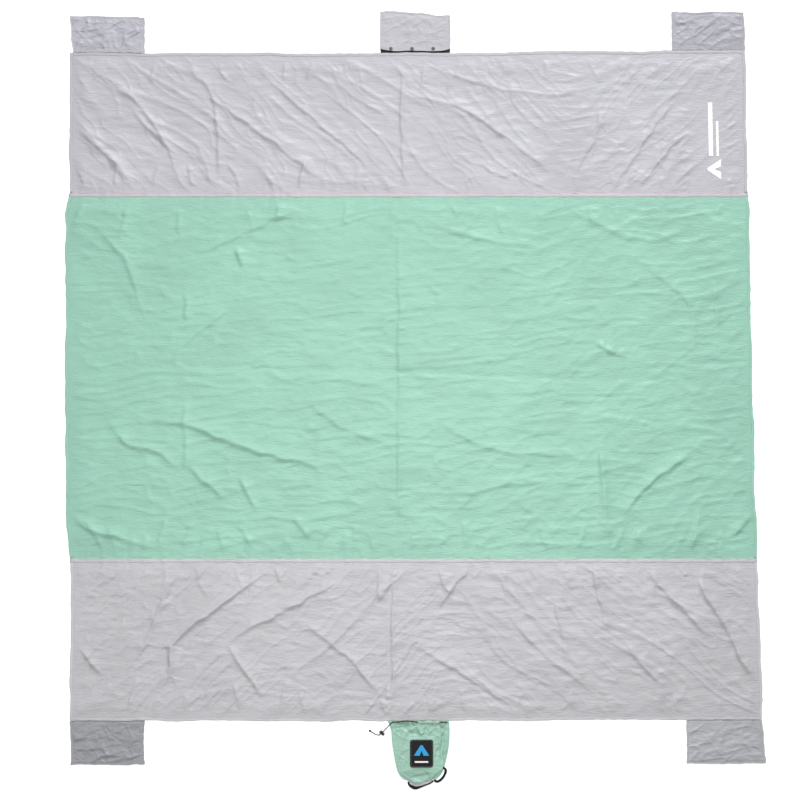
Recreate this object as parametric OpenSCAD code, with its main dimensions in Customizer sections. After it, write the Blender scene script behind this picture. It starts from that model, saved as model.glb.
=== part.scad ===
// Camp blanket: three sewn nylon panels with four sand pockets at the corners, a snap pocket
// at the head edge and a stuff sack with a drawstring at the foot edge. It lies flat on z = 0,
// head towards +Y, with its origin at the centre of the blanket's underside.

/* [Blanket] */
// Width of the blanket from side to side
blanket_w = 2100; // [1400:10:2600]
// Length of the grey panel at the head
head_len = 445; // [300:5:700]
// Length of the green centre panel
centre_len = 1110; // [800:10:1600]
// Length of the grey panel at the foot
foot_len = 495; // [300:5:700]
// Height that one crinkled layer of cloth takes up
cloth_t = 0.7; // [0.5:0.1:1]
// Width of the rolled hem round the edge
hem_w = 10; // [6:1:20]
// Width of the folded seam between two panels
seam_w = 12; // [8:1:20]
// Length of the printed bar on the head panel
mark_len = 163; // [100:1:220]
// Distance of the printed mark from the right side
mark_inset = 117; // [60:1:200]

/* [Pockets] */
// Width of each corner pocket
corner_w = 230; // [150:5:320]
// How far the two head pockets reach out
head_pocket_len = 110; // [80:5:200]
// How far the two foot pockets reach out
foot_pocket_len = 135; // [80:5:200]
// Width of the snap pocket
valuables_w = 216; // [190:2:300]
// How far the snap pocket reaches out
valuables_len = 115; // [80:5:200]
// Sideways place of the snap pocket
valuables_x = 10; // [-300:5:300]
// Room inside a pocket that lies flat
pocket_gap = 5.2; // [5:0.1:10]
// Width of the sewn seam round a pocket
pocket_seam_w = 6; // [4:1:12]

/* [Snaps] */
// Number of snaps along the mouth
snap_count = 3; // [2:1:3]
// Distance between two snaps
snap_pitch = 65; // [40:5:75]
// Diameter of a snap cap
snap_d = 11; // [9:0.5:14]
// Diameter of the stud that the socket grips
stud_d = 4.6; // [4:0.1:5.5]
// Distance from the mouth to the snaps
snap_inset = 9; // [8:1:20]
// Sideways shift of the snaps from the middle of the pocket
snap_shift = -10; // [-15:1:15]

/* [Stuff sack] */
// Width of the sack at its mouth
sack_w = 186; // [160:2:260]
// Width of the sack at its base
sack_end_w = 150; // [130:2:220]
// Length of the sack
sack_len = 185; // [165:5:280]
// Radius of the two corners at the base
sack_r = 45; // [35:1:60]
// Room inside the sack when it lies flat
sack_gap = 12; // [10:0.5:30]
// Sideways place of the sack
sack_x = 24; // [-300:2:300]
// Radius of the base disc that shows past the end
base_r = 38; // [30:1:50]
// Width of the binding round the base disc
binding_w = 4; // [3:0.5:8]
// Width of the hang loop's webbing
loop_w = 6; // [4:0.5:10]
// Finger gap inside the hang loop
loop_gap = 6.5; // [6.2:0.1:10]
// Width of the rubber patch
patch_w = 71; // [50:1:90]
// Height of the rubber patch
patch_h = 85; // [60:1:95]

/* [Drawstring] */
// Diameter of the drawstring
cord_d = 3; // [2.5:0.1:3]
// Distance of the drawstring's exit from the sack's left side
exit_inset = 17; // [14:1:19]
// Outer diameter of the cord lock
lock_d = 9.6; // [9.6:0.1:10]
// Travel of the cord lock's button
button_travel = 1.8; // [1.2:0.1:1.8]

/* [Hidden] */
$fn = 48;

mint = "#a4d7c0";
light_grey = "#cac9cf";
foot_grey = "#c2c1c4";
pocket_grey = "#a2a4a8";
lining = "#2c2e33";
black = "#18181a";
thread_grey = "#8d9297";
snap_metal = "#9a8c84";
white = "#f0f0ee";
blue = "#2aa5de";

blanket_len = head_len + centre_len + foot_len;
head_seam_y = blanket_len / 2 - head_len;
foot_seam_y = -blanket_len / 2 + foot_len;
seam_clear = 0.3;      // between two panels that hinge on a seam
flap_clear = 0.3;      // between the blanket's edge and what hangs on it
bar_clear = 0.2;       // between two folds that meet at a corner
fit = 0.15;            // round a snap stud, a shank or a post
thread_w = 0.8;
thread_h = 0.2;
hem_top = 2 * cloth_t;

corner_x = (blanket_w - corner_w) / 2;
pocket_roof = cloth_t + pocket_gap;

flange_d = snap_d - 2;
flange_h = 0.5;
shank_d = 3;
shank_sink = 0.8;      // how deep a cap's shank stands in its socket
post_sink = cloth_t / 2;
stud_h = 2.5;
stud_wall = 1.2;       // closed end of a stud above its post
stud_grip = 1.2;       // how deep the stud stands in its socket
socket_low = cloth_t + stud_h - stud_grip;
cap_h = 1.3;
cap_taper = 3;

sack_roof = cloth_t + sack_gap;
sack_top = sack_roof + cloth_t;
channel_len = 7;
channel_h = cord_d + 1.6;
channel_inset = 1;
cord_clear = 0.3;
cord_y = channel_inset + channel_len / 2;
cord_z = sack_top + channel_h / 2;
exit_x = -sack_w / 2 + exit_inset;
anchor_x = sack_w / 2 - 9;
anchor_wall = 6;       // closed end of the channel past the drawstring
sack_end = flap_clear + sack_len;
wall_split = sack_end - sack_r;
patch_x = 5;
patch_y = 101;
patch_t = 1.2;
patch_r = 8;
lip_x = -1;
lip_y = sack_end - base_r / 2;
loop_t = 2;
loop_from = 10;        // the loop's two ends, in degrees round the base corner
loop_to = 72;
loop_end = 8;

knot_r = 3;
knot_at = [-77.6, -27.9, knot_r];
lock_z = lock_d / 2 + 0.4;
lock_at = [-41, -34, lock_z];
lock_turn = -45;
// The drawstring's free end, with x and y from its exit. It comes down from the channel,
// runs level through the cord lock and lies on the ground up to the knot.
tail_drop = [
    [0, 0, 1], [-6, 0, 1], [-12, -3, 0.99], [-17, -8, 0.92], [-21, -13, 0.7],
    [-24.5, -17, 0.38], [-27, -20, 0.13], [-30, -23, 0]
];
tail_end = [
    [-45, -38, lock_z], [-49, -40.5, 5], [-54, -41, 4.4], [-59, -39.5, 3.6],
    [-65, -36.5, 2.8], [-71, -32.5, 2.5], [-76, -29, 2.8]
];
tail_route = concat(
    [for (p = tail_drop) [p[0], p[1], lock_z + (cord_z - lock_z) * p[2]]], tail_end);
barrel_wall = 1.2;
barrel_back = -7.4;
barrel_mouth = 5.6;
bore_d = lock_d - 2 * barrel_wall;
hole_d = cord_d + 0.8;
button_end = -2.8;
button_head = 1.6;
spring_wire = 0.5;
spring_turns = 3;
spring_clear = 0.05;

module box(low, high) {
    translate(low) cube(high - low);
}

// Puts what hangs on the blanket at its edge, with its own +Y pointing outwards.
module at_edge(x, at_head) {
    translate([x, (at_head ? 1 : -1) * blanket_len / 2, 0])
        mirror([0, at_head ? 0 : 1, 0]) children();
}

function arc(centre, r, from, to, steps) =
    [for (i = [0:steps]) let (a = from + (to - from) * i / steps) centre + r * [cos(a), sin(a)]];

function unit(v) = v / norm(v);

function heading(route, i) =
    unit(route[min(i + 1, len(route) - 1)] - route[max(i - 1, 0)]);

// One tube along a route, as rings of points that stand square to it.
module tube(route, d, sides, up) {
    rings = [for (i = [0:len(route) - 1])
        let (along = heading(route, i), across = unit(cross(along, up)), over = cross(across, along))
        for (k = [0:sides - 1])
            route[i] + d / 2 * (cos(360 * k / sides) * across + sin(360 * k / sides) * over)];
    last = len(route) - 1;
    walls = [for (i = [0:last - 1], k = [0:sides - 1]) let (n = (k + 1) % sides)
        [i * sides + k, i * sides + n, (i + 1) * sides + n, (i + 1) * sides + k]];
    ends = [[for (k = [sides - 1:-1:0]) k], [for (k = [0:sides - 1]) last * sides + k]];
    polyhedron(rings, concat(walls, ends), convexity = 4);
}

// ---- Blanket panels ----

module panel(from_y, to_y) {
    box([-blanket_w / 2, from_y, 0], [blanket_w / 2, to_y, cloth_t]);
}

module side_bars(from_y, to_y, inset, w, low, high) {
    for (side = [-1, 1])
        translate([side * (blanket_w / 2 - inset - w / 2), 0, 0])
            box([-w / 2, from_y, low], [w / 2, to_y, high]);
}

module cross_bar(y, w, half_length, low, high) {
    box([-half_length, y - w / 2, low], [half_length, y + w / 2, high]);
}

// The hem and its thread on an end panel: two sides and the outer edge.
module end_hem(inner_y, outer_y) {
    step = sign(outer_y - inner_y);
    near = inner_y + step * (seam_w + bar_clear);
    far = outer_y - step * (hem_w + bar_clear);
    side_bars(min(near, far), max(near, far), 0, hem_w, cloth_t, hem_top);
    cross_bar(outer_y - step * hem_w / 2, hem_w, blanket_w / 2, cloth_t, hem_top);
}

module end_hem_thread(inner_y, outer_y) {
    step = sign(outer_y - inner_y);
    near = inner_y + step * (seam_w + bar_clear);
    far = outer_y - step * (hem_w + bar_clear);
    inset = hem_w - 2 * thread_w;
    side_bars(min(near, far), max(near, far), inset, thread_w, hem_top, hem_top + thread_h);
    cross_bar(outer_y - step * (inset + thread_w / 2), thread_w, blanket_w / 2 - hem_w,
        hem_top, hem_top + thread_h);
}

module seam_fold(y, step) {
    cross_bar(y + step * (seam_clear + seam_w) / 2, seam_w - seam_clear, blanket_w / 2,
        cloth_t, hem_top);
}

module seam_thread(y, step) {
    for (row = [2, seam_w - 2])
        cross_bar(y + step * row, thread_w, blanket_w / 2, hem_top, hem_top + thread_h);
}

module centre_panel() {
    color(mint) panel(foot_seam_y + seam_clear / 2, head_seam_y - seam_clear / 2);
}

module centre_hem() {
    color(mint) side_bars(foot_seam_y + seam_clear / 2, head_seam_y - seam_clear / 2, 0, hem_w,
        cloth_t, hem_top);
}

module centre_hem_thread() {
    color(thread_grey) side_bars(foot_seam_y + seam_clear / 2, head_seam_y - seam_clear / 2,
        hem_w - 2 * thread_w, thread_w, hem_top, hem_top + thread_h);
}

module head_panel() {
    color(light_grey) panel(head_seam_y + seam_clear / 2, blanket_len / 2);
}

module head_hem() {
    color(light_grey) end_hem(head_seam_y, blanket_len / 2);
}

module head_hem_thread() {
    color(thread_grey) end_hem_thread(head_seam_y, blanket_len / 2);
}

module head_seam_fold() {
    color(light_grey) seam_fold(head_seam_y, 1);
}

module head_seam_thread() {
    color(thread_grey) seam_thread(head_seam_y, 1);
}

module foot_panel() {
    color(foot_grey) panel(-blanket_len / 2, foot_seam_y - seam_clear / 2);
}

module foot_hem() {
    color(foot_grey) end_hem(foot_seam_y, -blanket_len / 2);
}

module foot_hem_thread() {
    color(thread_grey) end_hem_thread(foot_seam_y, -blanket_len / 2);
}

module foot_seam_fold() {
    color(foot_grey) seam_fold(foot_seam_y, -1);
}

module foot_seam_thread() {
    color(thread_grey) seam_thread(foot_seam_y, -1);
}

// A plain ridge tent with its door open, one unit wide and centred.
module tent(size) {
    scale(size) polygon([[-0.5, -0.35], [-0.13, -0.35], [0, -0.02], [0.13, -0.35], [0.5, -0.35],
        [0.04, 0.36], [0, 0.3], [-0.04, 0.36]]);
}

// A tent with a long and a short bar beside it, read with the right side down.
module printed_mark() {
    tent_w = 62;
    tent_up = 85;
    bar_start = 0.65 * tent_w;
    long_bar = [mark_len, 14];
    short_bar = [0.66 * mark_len, 8];
    color(white)
        translate([blanket_w / 2 - mark_inset, head_seam_y + tent_up, cloth_t])
            linear_extrude(thread_h) rotate(90) {
                tent(tent_w);
                translate([bar_start, 2]) square(long_bar);
                translate([bar_start, -8 - short_bar[1]]) square(short_bar);
            }
}

// ---- Pockets ----

module pocket_back(w, length) {
    box([-w / 2, flap_clear, 0], [w / 2, flap_clear + length, cloth_t]);
}

module pocket_front(w, length) {
    box([-w / 2, flap_clear, pocket_roof], [w / 2, flap_clear + length, pocket_roof + cloth_t]);
}

// Three bars between two heights: the two sides and the outer end.
module pocket_bars(w, length, inset, bar_w, low, high) {
    far = flap_clear + length - inset;
    for (side = [-1, 1])
        translate([side * (w / 2 - inset - bar_w / 2), 0, 0])
            box([-bar_w / 2, flap_clear, low], [bar_w / 2, far - bar_w - bar_clear, high]);
    box([-w / 2 + inset, far - bar_w, low], [w / 2 - inset, far, high]);
}

module pocket_seams(w, length) {
    pocket_bars(w, length, 0, pocket_seam_w, cloth_t, pocket_roof);
}

module pocket_thread(w, length) {
    top = pocket_roof + cloth_t;
    pocket_bars(w, length, pocket_seam_w - 2 * thread_w, thread_w, top, top + thread_h);
}

module head_left_back() {
    color(light_grey) at_edge(-corner_x, true) pocket_back(corner_w, head_pocket_len);
}

module head_left_seams() {
    color(light_grey) at_edge(-corner_x, true) pocket_seams(corner_w, head_pocket_len);
}

module head_left_front() {
    color(light_grey) at_edge(-corner_x, true) pocket_front(corner_w, head_pocket_len);
}

module head_left_thread() {
    color(thread_grey) at_edge(-corner_x, true) pocket_thread(corner_w, head_pocket_len);
}

module head_right_back() {
    color(light_grey) at_edge(corner_x, true) pocket_back(corner_w, head_pocket_len);
}

module head_right_seams() {
    color(light_grey) at_edge(corner_x, true) pocket_seams(corner_w, head_pocket_len);
}

module head_right_front() {
    color(light_grey) at_edge(corner_x, true) pocket_front(corner_w, head_pocket_len);
}

module head_right_thread() {
    color(thread_grey) at_edge(corner_x, true) pocket_thread(corner_w, head_pocket_len);
}

module foot_left_back() {
    color(pocket_grey) at_edge(-corner_x, false) pocket_back(corner_w, foot_pocket_len);
}

module foot_left_seams() {
    color(pocket_grey) at_edge(-corner_x, false) pocket_seams(corner_w, foot_pocket_len);
}

module foot_left_front() {
    color(pocket_grey) at_edge(-corner_x, false) pocket_front(corner_w, foot_pocket_len);
}

module foot_left_thread() {
    color(thread_grey) at_edge(-corner_x, false) pocket_thread(corner_w, foot_pocket_len);
}

module foot_right_back() {
    color(pocket_grey) at_edge(corner_x, false) pocket_back(corner_w, foot_pocket_len);
}

module foot_right_seams() {
    color(pocket_grey) at_edge(corner_x, false) pocket_seams(corner_w, foot_pocket_len);
}

module foot_right_front() {
    color(pocket_grey) at_edge(corner_x, false) pocket_front(corner_w, foot_pocket_len);
}

module foot_right_thread() {
    color(thread_grey) at_edge(corner_x, false) pocket_thread(corner_w, foot_pocket_len);
}

// ---- Valuables pocket and its snaps ----

module at_snaps() {
    for (i = [0:snap_count - 1])
        translate([snap_shift + (i - (snap_count - 1) / 2) * snap_pitch, flap_clear + snap_inset, 0])
            children();
}

module valuables_back() {
    color(lining) at_edge(valuables_x, true) difference() {
        pocket_back(valuables_w, valuables_len);
        at_snaps() {
            translate([0, 0, -1]) cylinder(d = shank_d + 2 * fit, h = cloth_t + 2);
            translate([0, 0, -1]) cylinder(d = flange_d + 2 * fit, h = 1 + post_sink);
        }
    }
}

module valuables_seams() {
    color(light_grey) at_edge(valuables_x, true) pocket_seams(valuables_w, valuables_len);
}

module valuables_front() {
    color(light_grey) at_edge(valuables_x, true) difference() {
        pocket_front(valuables_w, valuables_len);
        at_snaps() translate([0, 0, pocket_roof - 1])
            cylinder(d = shank_d + 2 * fit, h = cloth_t + 2);
    }
}

module valuables_thread() {
    color(thread_grey) at_edge(valuables_x, true) pocket_thread(valuables_w, valuables_len);
}

module snap_caps() {
    top = pocket_roof + cloth_t;
    color(snap_metal) at_edge(valuables_x, true) at_snaps() {
        translate([0, 0, top]) cylinder(d1 = snap_d, d2 = snap_d - cap_taper, h = cap_h);
        translate([0, 0, pocket_roof - shank_sink]) cylinder(d = shank_d, h = cloth_t + shank_sink);
    }
}

module snap_sockets() {
    color(snap_metal) at_edge(valuables_x, true) at_snaps() difference() {
        translate([0, 0, socket_low]) cylinder(d = flange_d, h = pocket_roof - socket_low);
        translate([0, 0, socket_low - 1])
            cylinder(d = stud_d + 2 * fit, h = 1 + stud_grip + fit);
        translate([0, 0, pocket_roof - 1]) cylinder(d = shank_d + 2 * fit, h = 2);
    }
}

module snap_studs() {
    color(snap_metal) at_edge(valuables_x, true) at_snaps() difference() {
        union() {
            translate([0, 0, cloth_t]) cylinder(d = flange_d, h = flange_h);
            translate([0, 0, cloth_t]) cylinder(d = stud_d, h = stud_h);
        }
        translate([0, 0, cloth_t - 1]) cylinder(d = shank_d + 2 * fit, h = stud_h);
    }
}

module snap_posts() {
    color(snap_metal) at_edge(valuables_x, true) at_snaps() {
        cylinder(d = flange_d, h = post_sink);
        cylinder(d = shank_d, h = cloth_t + stud_h - stud_wall);
    }
}

// ---- Stuff sack ----

// The flat sack's outline, drawn in by an even margin, with its mouth at mouth_y.
function sack_outline(margin, mouth_y) =
    let (r = sack_r - margin, end_x = sack_end_w / 2 - sack_r)
    concat([[-(sack_w / 2 - margin), mouth_y]],
        arc([-end_x, wall_split], r, 180, 90, 12),
        arc([end_x, wall_split], r, 90, 0, 12),
        [[sack_w / 2 - margin, mouth_y]]);

module sack_layer(low, high) {
    translate([0, 0, low]) linear_extrude(high - low) polygon(sack_outline(0, flap_clear));
}

// The sack's wall between two distances from the mouth.
module sack_wall(from_y, to_y) {
    translate([0, 0, cloth_t]) linear_extrude(sack_gap) intersection() {
        difference() {
            polygon(sack_outline(0, flap_clear));
            polygon(sack_outline(cloth_t, 0));
        }
        translate([-sack_w, from_y]) square([2 * sack_w, to_y - from_y]);
    }
}

module base_disc(r, low, high) {
    translate([0, 0, low]) linear_extrude(high - low) difference() {
        translate([lip_x, lip_y]) circle(r);
        polygon(sack_outline(0, flap_clear));
        translate([-sack_w, -1]) square([2 * sack_w, sack_end + 1]);
    }
}

module sack_back() {
    color(mint) at_edge(sack_x, false) sack_layer(0, cloth_t);
}

module sack_side_folds() {
    color(mint) at_edge(sack_x, false) sack_wall(flap_clear, wall_split - bar_clear);
}

module sack_base() {
    color(light_grey) at_edge(sack_x, false) {
        sack_wall(wall_split, sack_end + 1);
        base_disc(base_r, 0, hem_top);
    }
}

module base_binding() {
    color(black) at_edge(sack_x, false) difference() {
        base_disc(base_r + binding_w, 0, hem_top + cloth_t);
        translate([lip_x, lip_y, -1]) cylinder(r = base_r, h = hem_top + cloth_t + 2);
    }
}

module sack_front() {
    color(mint) at_edge(sack_x, false) sack_layer(sack_roof, sack_top);
}

// Webbing bent round the right corner of the base, sewn down at both ends.
module hang_loop() {
    r = sack_r + loop_gap;
    low = (sack_gap - loop_t) / 2;
    color(black) at_edge(sack_x, false)
        translate([sack_end_w / 2 - sack_r, wall_split, low]) linear_extrude(loop_t) {
            polygon(concat(arc([0, 0], r + loop_w, loop_from, loop_to, 12),
                arc([0, 0], r, loop_to, loop_from, 12)));
            for (a = [loop_from, loop_to - loop_end])
                polygon(concat(arc([0, 0], r + loop_w / 2, a, a + loop_end, 3),
                    arc([0, 0], sack_r, a + loop_end, a, 3)));
        }
}

module cord_channel() {
    color(mint) at_edge(sack_x, false) difference() {
        box([exit_x, channel_inset + flap_clear, sack_top],
            [anchor_x + anchor_wall, channel_inset + flap_clear + channel_len, sack_top + channel_h]);
        translate([exit_x - 1, cord_y + flap_clear, cord_z]) rotate([0, 90, 0])
            cylinder(d = cord_d + 2 * cord_clear, h = anchor_x - exit_x + 1);
    }
}

module channel_thread() {
    y = flap_clear + channel_inset + channel_len + 1;
    color(thread_grey) at_edge(sack_x, false)
        box([exit_x, y, sack_top], [anchor_x + anchor_wall, y + thread_w, sack_top + thread_h]);
}

module drawstring() {
    color(black) at_edge(sack_x, false)
        translate([exit_x, cord_y + flap_clear, cord_z]) rotate([0, 90, 0])
            cylinder(d = cord_d, h = anchor_x - exit_x);
}

module rounded_plate(w, h, r, t) {
    linear_extrude(t) polygon(concat(
        arc([w / 2 - r, h / 2 - r], r, 0, 90, 6), arc([r - w / 2, h / 2 - r], r, 90, 180, 6),
        arc([r - w / 2, r - h / 2], r, 180, 270, 6), arc([w / 2 - r, r - h / 2], r, 270, 360, 6)));
}

module on_patch(z) {
    at_edge(sack_x, false) translate([patch_x, patch_y, sack_top + z]) mirror([0, 1, 0]) children();
}

module patch() {
    color(black) on_patch(0) rounded_plate(patch_w, patch_h, patch_r, patch_t);
}

module patch_thread() {
    inset = 2.5;
    inner = inset + thread_w;
    color(thread_grey) on_patch(patch_t) difference() {
        rounded_plate(patch_w - 2 * inset, patch_h - 2 * inset, patch_r - inset, thread_h);
        translate([0, 0, -1])
            rounded_plate(patch_w - 2 * inner, patch_h - 2 * inner, patch_r - inner, thread_h + 2);
    }
}

module patch_emblem() {
    raised = 0.5;
    color(blue) on_patch(patch_t)
        translate([0, 0.12 * patch_h, 0]) linear_extrude(raised) tent(0.66 * patch_w);
}

module patch_bar() {
    size = [0.58 * patch_w, 5, 0.4];
    color(white) on_patch(patch_t) translate([-size[0] / 2, -0.33 * patch_h, 0]) cube(size);
}

// ---- Free end of the drawstring, with its cord lock ----

module at_exit() {
    translate([sack_x + exit_x, -blanket_len / 2 - cord_y - flap_clear, 0]) children();
}

module at_lock() {
    at_exit() translate(lock_at) rotate([0, 0, lock_turn]) children();
}

module along_x(from, to, d) {
    translate([from, 0, 0]) rotate([0, 90, 0]) cylinder(d = d, h = to - from);
}

module drawstring_tail() {
    color(black) at_exit() tube(tail_route, cord_d, 8, [0, 0, 1]);
}

module tail_knot() {
    color(black) at_exit() translate(knot_at) sphere(knot_r);
}

module cord_hole(x) {
    translate([x, 0, 0]) rotate([90, 0, 0]) cylinder(d = hole_d, h = 2 * lock_d, center = true);
}

module lock_barrel() {
    color(black) at_lock() difference() {
        along_x(barrel_back, barrel_mouth, lock_d);
        along_x(barrel_back + barrel_wall, barrel_mouth + 1, bore_d);
        cord_hole(0);
    }
}

module lock_button() {
    head_low = barrel_mouth + button_travel + cord_clear;
    color(black) at_lock() difference() {
        union() {
            along_x(button_end, head_low + 1, bore_d - 2 * fit);
            along_x(head_low, head_low + button_head, lock_d - 0.6);
        }
        cord_hole(0);
        cord_hole(button_travel);
        translate([0, -lock_d, -hole_d / 2]) cube([button_travel, 2 * lock_d, hole_d]);
    }
}

// A short coil between the barrel's floor and the button.
module lock_spring() {
    steps = 14;
    margin = spring_wire / 2 + spring_clear;
    from = barrel_back + barrel_wall + margin;
    to = button_end - margin;
    r = bore_d / 2 - spring_wire;
    last = spring_turns * steps;
    coil = [for (i = [0:last]) let (a = 360 * i / steps)
        [from + (to - from) * i / last, r * cos(a), r * sin(a)]];
    color(snap_metal) at_lock() tube(coil, spring_wire, 6, [1, 0, 0]);
}

centre_panel();
centre_hem();
centre_hem_thread();
head_panel();
head_hem();
head_hem_thread();
head_seam_fold();
head_seam_thread();
printed_mark();
foot_panel();
foot_hem();
foot_hem_thread();
foot_seam_fold();
foot_seam_thread();
head_left_back();
head_left_seams();
head_left_front();
head_left_thread();
head_right_back();
head_right_seams();
head_right_front();
head_right_thread();
foot_left_back();
foot_left_seams();
foot_left_front();
foot_left_thread();
foot_right_back();
foot_right_seams();
foot_right_front();
foot_right_thread();
valuables_back();
valuables_seams();
valuables_front();
valuables_thread();
snap_caps();
snap_sockets();
snap_studs();
snap_posts();
sack_back();
sack_side_folds();
sack_base();
base_binding();
hang_loop();
sack_front();
cord_channel();
channel_thread();
drawstring();
patch();
patch_thread();
patch_emblem();
patch_bar();
drawstring_tail();
tail_knot();
lock_barrel();
lock_spring();
lock_button();
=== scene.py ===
# Looks for the camp blanket, in metres and in the part's own frame: +Z up, head towards +Y.
# Each layer of cloth is one thin sheet with its wrinkles in the mesh. The snaps, the rubber patch
# and the cord lock's barrel and button keep their CAD shapes.
import math

import bmesh
import bpy
import numpy as np
from mathutils.bvhtree import BVHTree
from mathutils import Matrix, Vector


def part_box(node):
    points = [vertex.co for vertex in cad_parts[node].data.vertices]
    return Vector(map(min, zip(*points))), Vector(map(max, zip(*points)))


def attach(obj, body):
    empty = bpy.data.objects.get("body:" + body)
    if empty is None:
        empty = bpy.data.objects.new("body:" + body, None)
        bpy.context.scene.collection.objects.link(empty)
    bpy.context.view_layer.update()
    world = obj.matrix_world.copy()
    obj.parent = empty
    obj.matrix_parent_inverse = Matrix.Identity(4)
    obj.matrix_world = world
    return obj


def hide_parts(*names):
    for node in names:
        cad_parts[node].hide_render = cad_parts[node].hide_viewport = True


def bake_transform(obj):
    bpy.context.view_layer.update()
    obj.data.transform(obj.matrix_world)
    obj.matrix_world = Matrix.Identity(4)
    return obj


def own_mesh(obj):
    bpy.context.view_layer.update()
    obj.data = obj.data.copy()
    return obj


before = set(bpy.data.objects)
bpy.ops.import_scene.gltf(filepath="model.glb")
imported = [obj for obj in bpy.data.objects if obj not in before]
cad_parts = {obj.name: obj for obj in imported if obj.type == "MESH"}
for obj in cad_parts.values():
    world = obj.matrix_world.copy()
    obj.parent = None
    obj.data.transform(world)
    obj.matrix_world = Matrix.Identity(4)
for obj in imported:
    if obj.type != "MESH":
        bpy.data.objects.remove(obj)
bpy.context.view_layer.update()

CENTRE_LOW, CENTRE_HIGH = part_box("centre_panel")
HEAD_LOW, HEAD_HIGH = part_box("head_panel")
FOOT_LOW, FOOT_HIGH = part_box("foot_panel")
HALF_W = CENTRE_HIGH.x
HEAD_SEAM = (CENTRE_HIGH.y + HEAD_LOW.y) / 2
FOOT_SEAM = (CENTRE_LOW.y + FOOT_HIGH.y) / 2
HEAD_EDGE = HEAD_HIGH.y
FOOT_EDGE = FOOT_LOW.y
HEM = 0.010
CENTRE_STEP = 0.0049
END_STEP = 0.0034
THREAD = 0.0005        # half width of a stitch
STITCH_PITCH = 0.0042
STITCH_STEP = 0.004    # distance between the points of a line of stitches
STITCH_LIFT = 0.0006
SEAM_GAP = 0.001       # from the end of a hem to the seam, and from a hem's inner edge to its stitches
PRINT_LOW, PRINT_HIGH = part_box("printed_mark")
PRINT_MIDDLE = (PRINT_LOW + PRINT_HIGH) / 2
PRINT_BED = 0.0035     # how high the cloth lies under the printed mark
FOLD_STEP = 0.03       # distance between the points of a fold's crest
SEAM_STRIP = 0.013     # how far the folded seam reaches onto an end panel
FOLD_LEAN = (-0.45, -0.89)  # the side to which the folds have fallen over

# How far the sides lie from the cut's straight sides: (distance along the blanket, shift).
RIGHT_SIDE = [(-1.17, 0.034), (-1.05, 0.027), (-0.50, 0.010), (-0.34, 0.003), (0.53, -0.015),
              (0.60, -0.020), (1.15, -0.031)]
LEFT_SIDE = [(-1.17, 0.0), (-0.58, 0.001), (-0.50, -0.006), (-0.34, -0.014), (0.53, -0.014),
             (0.60, -0.001), (1.15, 0.0)]

# Folds left by packing and by laying the blanket out: height, half width, points.
HEAD_FOLDS = [
    (0.011, 0.016, [(-1.03, 0.79), (-0.93, 0.71), (-0.84, 0.60)]),
    (0.006, 0.012, [(-0.88, 0.87), (-0.79, 0.77), (-0.70, 0.69)]),
    (0.009, 0.015, [(-0.65, 0.91), (-0.48, 0.79), (-0.25, 0.61)]),
    (0.007, 0.012, [(-0.71, 1.00), (-0.61, 0.88), (-0.59, 0.60)]),
    (0.009, 0.014, [(-0.03, 0.90), (0.15, 0.85), (0.32, 0.74), (0.45, 0.63)]),
    (0.005, 0.011, [(0.58, 0.88), (0.58, 0.79), (0.49, 0.62)]),
    (0.007, 0.013, [(0.70, 0.60), (0.78, 0.70), (0.88, 0.79)]),
    (0.006, 0.012, [(0.82, 0.62), (0.98, 0.76)]),
    (0.007, 0.013, [(-0.99, 1.00), (-0.80, 0.82), (-0.70, 0.60)]),
    (0.006, 0.012, [(-0.50, 1.00), (-0.34, 0.85), (-0.07, 0.62)]),
    (0.005, 0.011, [(-0.25, 1.00), (-0.21, 0.91), (-0.05, 0.82)]),
    (0.005, 0.012, [(0.02, 1.00), (0.27, 0.91), (0.58, 0.89)]),
    (0.005, 0.010, [(0.12, 0.72), (0.33, 0.62)]),
    (0.006, 0.012, [(0.62, 0.61), (0.72, 0.74), (0.84, 0.90)]),
]
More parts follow.
